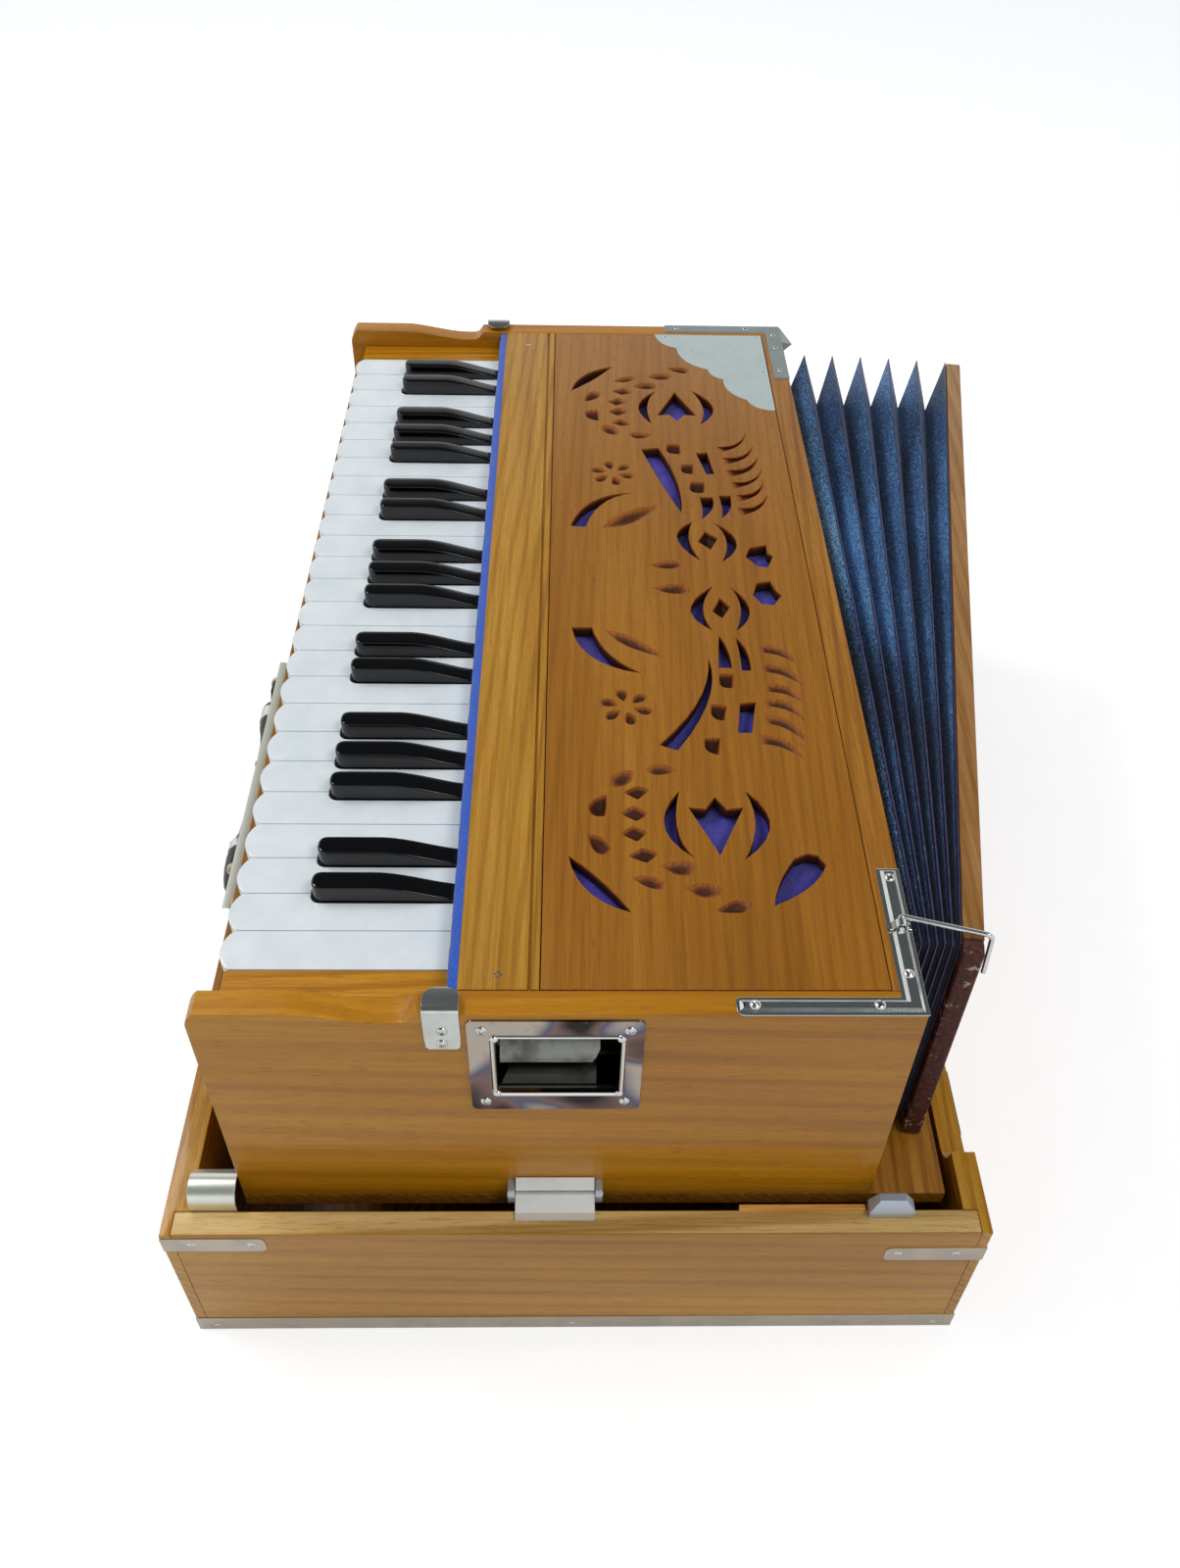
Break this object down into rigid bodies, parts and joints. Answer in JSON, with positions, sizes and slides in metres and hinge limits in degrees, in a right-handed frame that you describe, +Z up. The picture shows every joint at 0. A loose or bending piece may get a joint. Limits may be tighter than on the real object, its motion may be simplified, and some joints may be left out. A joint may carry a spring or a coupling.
{
  "type": "indian harmonium",
  "caption": "Folding reed keyboard instrument with a carved top panel and hand-pumped side-hinged bellows, raised on two end supports inside its open carrying tray",
  "frame": {"origin": "middle of the whole footprint at floor level, the tray's underside at z 0", "axes": "+X along the keyboard to the treble end, +Y from the player to the bellows, +Z up"},
  "size_m": [0.6512, 0.4924, 0.2604],
  "materials": {
    "teak": "gloss varnish",
    "pale_wood": "bare sanded",
    "ivory_plastic": "polished",
    "ebony_plastic": "polished",
    "bellows_cloth": "sparkle cloth over card",
    "nickel_wire": "bright",
    "steel_plate": "satin",
    "black_moulding": "moulded",
    "chrome_plate": "mirror plated",
    "dull_aluminium": "dull"
  },
  "bodies": {
    "tray": {"tray": "teak", "carry_handle_plate": "steel_plate"},
    "case": {"case": "teak", "reed_board": "pale_wood", "key_rail": "teak", "carved_panel": "teak", "cup_handle_near": "chrome_plate", "cup_handle_far": "chrome_plate"},
    "white_key_C3": {"white_key_C3": "ivory_plastic"},
    "white_key_D3": {"white_key_D3": "ivory_plastic"},
    "white_key_E3": {"white_key_E3": "ivory_plastic"},
    "white_key_F3": {"white_key_F3": "ivory_plastic"},
    "white_key_G3": {"white_key_G3": "ivory_plastic"},
    "white_key_A3": {"white_key_A3": "ivory_plastic"},
    "white_key_B3": {"white_key_B3": "ivory_plastic"},
    "white_key_C4": {"white_key_C4": "ivory_plastic"},
    "white_key_D4": {"white_key_D4": "ivory_plastic"},
    "white_key_E4": {"white_key_E4": "ivory_plastic"},
    "white_key_F4": {"white_key_F4": "ivory_plastic"},
    "white_key_G4": {"white_key_G4": "ivory_plastic"},
    "white_key_A4": {"white_key_A4": "ivory_plastic"},
    "white_key_B4": {"white_key_B4": "ivory_plastic"},
    "white_key_C5": {"white_key_C5": "ivory_plastic"},
    "white_key_D5": {"white_key_D5": "ivory_plastic"},
    "white_key_E5": {"white_key_E5": "ivory_plastic"},
    "white_key_F5": {"white_key_F5": "ivory_plastic"},
    "white_key_G5": {"white_key_G5": "ivory_plastic"},
    "white_key_A5": {"white_key_A5": "ivory_plastic"},
    "white_key_B5": {"white_key_B5": "ivory_plastic"},
    "white_key_C6": {"white_key_C6": "ivory_plastic"},
    "white_key_D6": {"white_key_D6": "ivory_plastic"},
    "white_key_E6": {"white_key_E6": "ivory_plastic"},
    "white_key_F6": {"white_key_F6": "ivory_plastic"},
    "black_key_Cs3": {"black_key_Cs3": "ebony_plastic"},
    "black_key_Ds3": {"black_key_Ds3": "ebony_plastic"},
    "black_key_Fs3": {"black_key_Fs3": "ebony_plastic"},
    "black_key_Gs3": {"black_key_Gs3": "ebony_plastic"},
    "black_key_As3": {"black_key_As3": "ebony_plastic"},
    "black_key_Cs4": {"black_key_Cs4": "ebony_plastic"},
    "black_key_Ds4": {"black_key_Ds4": "ebony_plastic"},
    "black_key_Fs4": {"black_key_Fs4": "ebony_plastic"},
    "black_key_Gs4": {"black_key_Gs4": "ebony_plastic"},
    "black_key_As4": {"black_key_As4": "ebony_plastic"},
    "black_key_Cs5": {"black_key_Cs5": "ebony_plastic"},
    "black_key_Ds5": {"black_key_Ds5": "ebony_plastic"},
    "black_key_Fs5": {"black_key_Fs5": "ebony_plastic"},
    "black_key_Gs5": {"black_key_Gs5": "ebony_plastic"},
    "black_key_As5": {"black_key_As5": "ebony_plastic"},
    "black_key_Cs6": {"black_key_Cs6": "ebony_plastic"},
    "black_key_Ds6": {"black_key_Ds6": "ebony_plastic"},
    "bellows_fold_1": {"bellows_fold_1": "bellows_cloth"},
    "bellows_fold_2": {"bellows_fold_2": "bellows_cloth"},
    "bellows_fold_3": {"bellows_fold_3": "bellows_cloth"},
    "bellows_fold_4": {"bellows_fold_4": "bellows_cloth"},
    "bellows_fold_5": {"bellows_fold_5": "bellows_cloth"},
    "bellows_board": {"bellows_board": "teak"},
    "bellows_hook": {"bellows_hook": "nickel_wire"},
    "carry_grip": {"carry_grip": "black_moulding"},
    "support_near": {"support_near": "dull_aluminium"},
    "support_far": {"support_far": "dull_aluminium"}
  },
  "joints": [
    {"name": "case_lift", "type": "slide", "parent": "tray", "child": "case", "axis": [0, 0, 1], "range_m": [0, 0.025]},
    {"name": "white_key_C3_rock", "type": "hinge", "parent": "case", "child": "white_key_C3", "pos_m": [0, -0.04212, 0.229], "axis": [1, 0, 0], "range_deg": [0, 2.6], "stiffness_Nm_per_rad": 0.4, "springref_deg": -11.46},
    {"name": "white_key_D3_rock", "type": "hinge", "parent": "case", "child": "white_key_D3", "pos_m": [0, -0.04212, 0.229], "axis": [1, 0, 0], "range_deg": [0, 2.6], "stiffness_Nm_per_rad": 0.4, "springref_deg": -11.46},
    {"name": "white_key_E3_rock", "type": "hinge", "parent": "case", "child": "white_key_E3", "pos_m": [0, -0.04212, 0.229], "axis": [1, 0, 0], "range_deg": [0, 2.6], "stiffness_Nm_per_rad": 0.4, "springref_deg": -11.46},
    {"name": "white_key_F3_rock", "type": "hinge", "parent": "case", "child": "white_key_F3", "pos_m": [0, -0.04212, 0.229], "axis": [1, 0, 0], "range_deg": [0, 2.6], "stiffness_Nm_per_rad": 0.4, "springref_deg": -11.46},
    {"name": "white_key_G3_rock", "type": "hinge", "parent": "case", "child": "white_key_G3", "pos_m": [0, -0.04212, 0.229], "axis": [1, 0, 0], "range_deg": [0, 2.6], "stiffness_Nm_per_rad": 0.4, "springref_deg": -11.46},
    {"name": "white_key_A3_rock", "type": "hinge", "parent": "case", "child": "white_key_A3", "pos_m": [0, -0.04212, 0.229], "axis": [1, 0, 0], "range_deg": [0, 2.6], "stiffness_Nm_per_rad": 0.4, "springref_deg": -11.46},
    {"name": "white_key_B3_rock", "type": "hinge", "parent": "case", "child": "white_key_B3", "pos_m": [0, -0.04212, 0.229], "axis": [1, 0, 0], "range_deg": [0, 2.6], "stiffness_Nm_per_rad": 0.4, "springref_deg": -11.46},
    {"name": "white_key_C4_rock", "type": "hinge", "parent": "case", "child": "white_key_C4", "pos_m": [0, -0.04212, 0.229], "axis": [1, 0, 0], "range_deg": [0, 2.6], "stiffness_Nm_per_rad": 0.4, "springref_deg": -11.46},
    {"name": "white_key_D4_rock", "type": "hinge", "parent": "case", "child": "white_key_D4", "pos_m": [0, -0.04212, 0.229], "axis": [1, 0, 0], "range_deg": [0, 2.6], "stiffness_Nm_per_rad": 0.4, "springref_deg": -11.46},
    {"name": "white_key_E4_rock", "type": "hinge", "parent": "case", "child": "white_key_E4", "pos_m": [0, -0.04212, 0.229], "axis": [1, 0, 0], "range_deg": [0, 2.6], "stiffness_Nm_per_rad": 0.4, "springref_deg": -11.46},
    {"name": "white_key_F4_rock", "type": "hinge", "parent": "case", "child": "white_key_F4", "pos_m": [0, -0.04212, 0.229], "axis": [1, 0, 0], "range_deg": [0, 2.6], "stiffness_Nm_per_rad": 0.4, "springref_deg": -11.46},
    {"name": "white_key_G4_rock", "type": "hinge", "parent": "case", "child": "white_key_G4", "pos_m": [0, -0.04212, 0.229], "axis": [1, 0, 0], "range_deg": [0, 2.6], "stiffness_Nm_per_rad": 0.4, "springref_deg": -11.46},
    {"name": "white_key_A4_rock", "type": "hinge", "parent": "case", "child": "white_key_A4", "pos_m": [0, -0.04212, 0.229], "axis": [1, 0, 0], "range_deg": [0, 2.6], "stiffness_Nm_per_rad": 0.4, "springref_deg": -11.46},
    {"name": "white_key_B4_rock", "type": "hinge", "parent": "case", "child": "white_key_B4", "pos_m": [0, -0.04212, 0.229], "axis": [1, 0, 0], "range_deg": [0, 2.6], "stiffness_Nm_per_rad": 0.4, "springref_deg": -11.46},
    {"name": "white_key_C5_rock", "type": "hinge", "parent": "case", "child": "white_key_C5", "pos_m": [0, -0.04212, 0.229], "axis": [1, 0, 0], "range_deg": [0, 2.6], "stiffness_Nm_per_rad": 0.4, "springref_deg": -11.46},
    {"name": "white_key_D5_rock", "type": "hinge", "parent": "case", "child": "white_key_D5", "pos_m": [0, -0.04212, 0.229], "axis": [1, 0, 0], "range_deg": [0, 2.6], "stiffness_Nm_per_rad": 0.4, "springref_deg": -11.46},
    {"name": "white_key_E5_rock", "type": "hinge", "parent": "case", "child": "white_key_E5", "pos_m": [0, -0.04212, 0.229], "axis": [1, 0, 0], "range_deg": [0, 2.6], "stiffness_Nm_per_rad": 0.4, "springref_deg": -11.46},
    {"name": "white_key_F5_rock", "type": "hinge", "parent": "case", "child": "white_key_F5", "pos_m": [0, -0.04212, 0.229], "axis": [1, 0, 0], "range_deg": [0, 2.6], "stiffness_Nm_per_rad": 0.4, "springref_deg": -11.46},
    {"name": "white_key_G5_rock", "type": "hinge", "parent": "case", "child": "white_key_G5", "pos_m": [0, -0.04212, 0.229], "axis": [1, 0, 0], "range_deg": [0, 2.6], "stiffness_Nm_per_rad": 0.4, "springref_deg": -11.46},
    {"name": "white_key_A5_rock", "type": "hinge", "parent": "case", "child": "white_key_A5", "pos_m": [0, -0.04212, 0.229], "axis": [1, 0, 0], "range_deg": [0, 2.6], "stiffness_Nm_per_rad": 0.4, "springref_deg": -11.46},
    {"name": "white_key_B5_rock", "type": "hinge", "parent": "case", "child": "white_key_B5", "pos_m": [0, -0.04212, 0.229], "axis": [1, 0, 0], "range_deg": [0, 2.6], "stiffness_Nm_per_rad": 0.4, "springref_deg": -11.46},
    {"name": "white_key_C6_rock", "type": "hinge", "parent": "case", "child": "white_key_C6", "pos_m": [0, -0.04212, 0.229], "axis": [1, 0, 0], "range_deg": [0, 2.6], "stiffness_Nm_per_rad": 0.4, "springref_deg": -11.46},
    {"name": "white_key_D6_rock", "type": "hinge", "parent": "case", "child": "white_key_D6", "pos_m": [0, -0.04212, 0.229], "axis": [1, 0, 0], "range_deg": [0, 2.6], "stiffness_Nm_per_rad": 0.4, "springref_deg": -11.46},
    {"name": "white_key_E6_rock", "type": "hinge", "parent": "case", "child": "white_key_E6", "pos_m": [0, -0.04212, 0.229], "axis": [1, 0, 0], "range_deg": [0, 2.6], "stiffness_Nm_per_rad": 0.4, "springref_deg": -11.46},
    {"name": "white_key_F6_rock", "type": "hinge", "parent": "case", "child": "white_key_F6", "pos_m": [0, -0.04212, 0.229], "axis": [1, 0, 0], "range_deg": [0, 2.6], "stiffness_Nm_per_rad": 0.4, "springref_deg": -11.46},
    {"name": "black_key_Cs3_rock", "type": "hinge", "parent": "case", "child": "black_key_Cs3", "pos_m": [0, -0.04212, 0.229], "axis": [1, 0, 0], "range_deg": [0, 2.6], "stiffness_Nm_per_rad": 0.4, "springref_deg": -11.46},
    {"name": "black_key_Ds3_rock", "type": "hinge", "parent": "case", "child": "black_key_Ds3", "pos_m": [0, -0.04212, 0.229], "axis": [1, 0, 0], "range_deg": [0, 2.6], "stiffness_Nm_per_rad": 0.4, "springref_deg": -11.46},
    {"name": "black_key_Fs3_rock", "type": "hinge", "parent": "case", "child": "black_key_Fs3", "pos_m": [0, -0.04212, 0.229], "axis": [1, 0, 0], "range_deg": [0, 2.6], "stiffness_Nm_per_rad": 0.4, "springref_deg": -11.46},
    {"name": "black_key_Gs3_rock", "type": "hinge", "parent": "case", "child": "black_key_Gs3", "pos_m": [0, -0.04212, 0.229], "axis": [1, 0, 0], "range_deg": [0, 2.6], "stiffness_Nm_per_rad": 0.4, "springref_deg": -11.46},
    {"name": "black_key_As3_rock", "type": "hinge", "parent": "case", "child": "black_key_As3", "pos_m": [0, -0.04212, 0.229], "axis": [1, 0, 0], "range_deg": [0, 2.6], "stiffness_Nm_per_rad": 0.4, "springref_deg": -11.46},
    {"name": "black_key_Cs4_rock", "type": "hinge", "parent": "case", "child": "black_key_Cs4", "pos_m": [0, -0.04212, 0.229], "axis": [1, 0, 0], "range_deg": [0, 2.6], "stiffness_Nm_per_rad": 0.4, "springref_deg": -11.46},
    {"name": "black_key_Ds4_rock", "type": "hinge", "parent": "case", "child": "black_key_Ds4", "pos_m": [0, -0.04212, 0.229], "axis": [1, 0, 0], "range_deg": [0, 2.6], "stiffness_Nm_per_rad": 0.4, "springref_deg": -11.46},
    {"name": "black_key_Fs4_rock", "type": "hinge", "parent": "case", "child": "black_key_Fs4", "pos_m": [0, -0.04212, 0.229], "axis": [1, 0, 0], "range_deg": [0, 2.6], "stiffness_Nm_per_rad": 0.4, "springref_deg": -11.46},
    {"name": "black_key_Gs4_rock", "type": "hinge", "parent": "case", "child": "black_key_Gs4", "pos_m": [0, -0.04212, 0.229], "axis": [1, 0, 0], "range_deg": [0, 2.6], "stiffness_Nm_per_rad": 0.4, "springref_deg": -11.46},
    {"name": "black_key_As4_rock", "type": "hinge", "parent": "case", "child": "black_key_As4", "pos_m": [0, -0.04212, 0.229], "axis": [1, 0, 0], "range_deg": [0, 2.6], "stiffness_Nm_per_rad": 0.4, "springref_deg": -11.46},
    {"name": "black_key_Cs5_rock", "type": "hinge", "parent": "case", "child": "black_key_Cs5", "pos_m": [0, -0.04212, 0.229], "axis": [1, 0, 0], "range_deg": [0, 2.6], "stiffness_Nm_per_rad": 0.4, "springref_deg": -11.46},
    {"name": "black_key_Ds5_rock", "type": "hinge", "parent": "case", "child": "black_key_Ds5", "pos_m": [0, -0.04212, 0.229], "axis": [1, 0, 0], "range_deg": [0, 2.6], "stiffness_Nm_per_rad": 0.4, "springref_deg": -11.46},
    {"name": "black_key_Fs5_rock", "type": "hinge", "parent": "case", "child": "black_key_Fs5", "pos_m": [0, -0.04212, 0.229], "axis": [1, 0, 0], "range_deg": [0, 2.6], "stiffness_Nm_per_rad": 0.4, "springref_deg": -11.46},
    {"name": "black_key_Gs5_rock", "type": "hinge", "parent": "case", "child": "black_key_Gs5", "pos_m": [0, -0.04212, 0.229], "axis": [1, 0, 0], "range_deg": [0, 2.6], "stiffness_Nm_per_rad": 0.4, "springref_deg": -11.46},
    {"name": "black_key_As5_rock", "type": "hinge", "parent": "case", "child": "black_key_As5", "pos_m": [0, -0.04212, 0.229], "axis": [1, 0, 0], "range_deg": [0, 2.6], "stiffness_Nm_per_rad": 0.4, "springref_deg": -11.46},
    {"name": "black_key_Cs6_rock", "type": "hinge", "parent": "case", "child": "black_key_Cs6", "pos_m": [0, -0.04212, 0.229], "axis": [1, 0, 0], "range_deg": [0, 2.6], "stiffness_Nm_per_rad": 0.4, "springref_deg": -11.46},
    {"name": "black_key_Ds6_rock", "type": "hinge", "parent": "case", "child": "black_key_Ds6", "pos_m": [0, -0.04212, 0.229], "axis": [1, 0, 0], "range_deg": [0, 2.6], "stiffness_Nm_per_rad": 0.4, "springref_deg": -11.46},
    {"name": "bellows_fold_1_hinge", "type": "hinge", "parent": "case", "child": "bellows_fold_1", "pos_m": [0.264, 0.12457, 0.179], "axis": [0, 0, -1], "range_deg": [-1.1, 0.25], "deforming": ["bellows_fold_1"]},
    {"name": "bellows_fold_2_hinge", "type": "hinge", "parent": "bellows_fold_1", "child": "bellows_fold_2", "pos_m": [0.264, 0.12799, 0.179], "axis": [0, 0, -1], "range_deg": [-1.6, 0.3], "deforming": ["bellows_fold_2"]},
    {"name": "bellows_fold_3_hinge", "type": "hinge", "parent": "bellows_fold_2", "child": "bellows_fold_3", "pos_m": [0.264, 0.13141, 0.179], "axis": [0, 0, -1], "range_deg": [-1.6, 0.3], "deforming": ["bellows_fold_3"]},
    {"name": "bellows_fold_4_hinge", "type": "hinge", "parent": "bellows_fold_3", "child": "bellows_fold_4", "pos_m": [0.264, 0.13483, 0.179], "axis": [0, 0, -1], "range_deg": [-1.6, 0.3], "deforming": ["bellows_fold_4"]},
    {"name": "bellows_fold_5_hinge", "type": "hinge", "parent": "bellows_fold_4", "child": "bellows_fold_5", "pos_m": [0.264, 0.13825, 0.179], "axis": [0, 0, -1], "range_deg": [-1.6, 0.3], "deforming": ["bellows_fold_5"]},
    {"name": "bellows_board_hinge", "type": "hinge", "parent": "bellows_fold_5", "child": "bellows_board", "pos_m": [0.264, 0.14167, 0.179], "axis": [0, 0, -1], "range_deg": [-1.6, 0.3]},
    {"name": "bellows_hook_hinge", "type": "hinge", "parent": "case", "child": "bellows_hook", "pos_m": [0.2538, 0.11768, 0.2582], "axis": [1, 0, 0], "range_deg": [0, 120]},
    {"name": "carry_grip_hinge", "type": "hinge", "parent": "tray", "child": "carry_grip", "pos_m": [-0.004, -0.23212, 0.092], "axis": [-1, 0, 0], "range_deg": [0, 100]},
    {"name": "support_near_hinge", "type": "hinge", "parent": "case", "child": "support_near", "pos_m": [0.3054, -0.03387, 0.1114], "axis": [0, -1, 0], "range_deg": [0, 100]},
    {"name": "support_far_hinge", "type": "hinge", "parent": "case", "child": "support_far", "pos_m": [-0.3054, -0.03387, 0.1114], "axis": [0, 1, 0], "range_deg": [0, 100]}
  ],
  "couplings": [
    {"joint": "bellows_fold_1_hinge", "follows": "bellows_board_hinge", "ratio": 0.6667},
    {"joint": "bellows_fold_2_hinge", "follows": "bellows_board_hinge", "ratio": 1},
    {"joint": "bellows_fold_3_hinge", "follows": "bellows_board_hinge", "ratio": 1},
    {"joint": "bellows_fold_4_hinge", "follows": "bellows_board_hinge", "ratio": 1},
    {"joint": "bellows_fold_5_hinge", "follows": "bellows_board_hinge", "ratio": 1}
  ]
}
